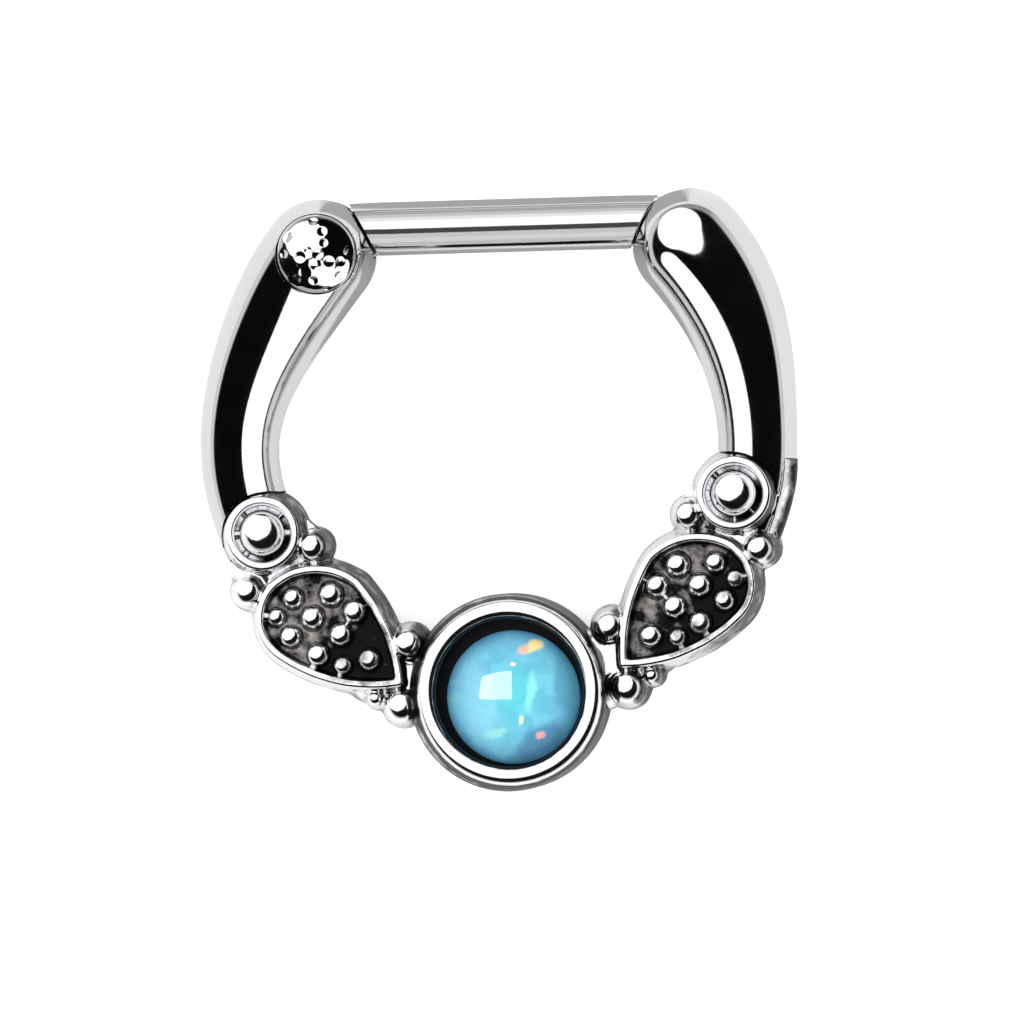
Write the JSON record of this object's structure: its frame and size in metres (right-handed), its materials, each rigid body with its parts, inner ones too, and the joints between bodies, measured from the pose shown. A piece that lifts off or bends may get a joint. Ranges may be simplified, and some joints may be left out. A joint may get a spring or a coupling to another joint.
{
  "type": "septum ring",
  "caption": "Hinged septum ring: polished rod hoop with two ball ends, a straight swing-open bar and a cast, granulated front that holds a round opal.",
  "frame": {"origin": "middle of the footprint of the ring lying on its back, on the surface it rests on", "axes": "+Z is the front of the ring, facing up as it lies on its back; +Y points from the bezel to the straight bar; +X runs along the bar from its hinge to its latch"},
  "size_m": [0.0134, 0.0134, 0.003],
  "materials": {
    "polished_steel": "mirror polished surgical steel",
    "antiqued_casting": "silver plated casting with darkened recesses and polished high spots",
    "opal": "polished blue opal cabochon"
  },
  "bodies": {
    "ring": {"hoop": "polished_steel", "ornament": "antiqued_casting", "opal": "opal", "hinge_pin": "polished_steel"},
    "bar": {"clicker_bar": "polished_steel"}
  },
  "joints": [
    {"name": "bar_hinge", "type": "hinge", "parent": "ring", "child": "bar", "pos_m": [-0.00393, 0.00544, 0.00128], "axis": [0, 0, 1], "range_deg": [0, 95]}
  ]
}
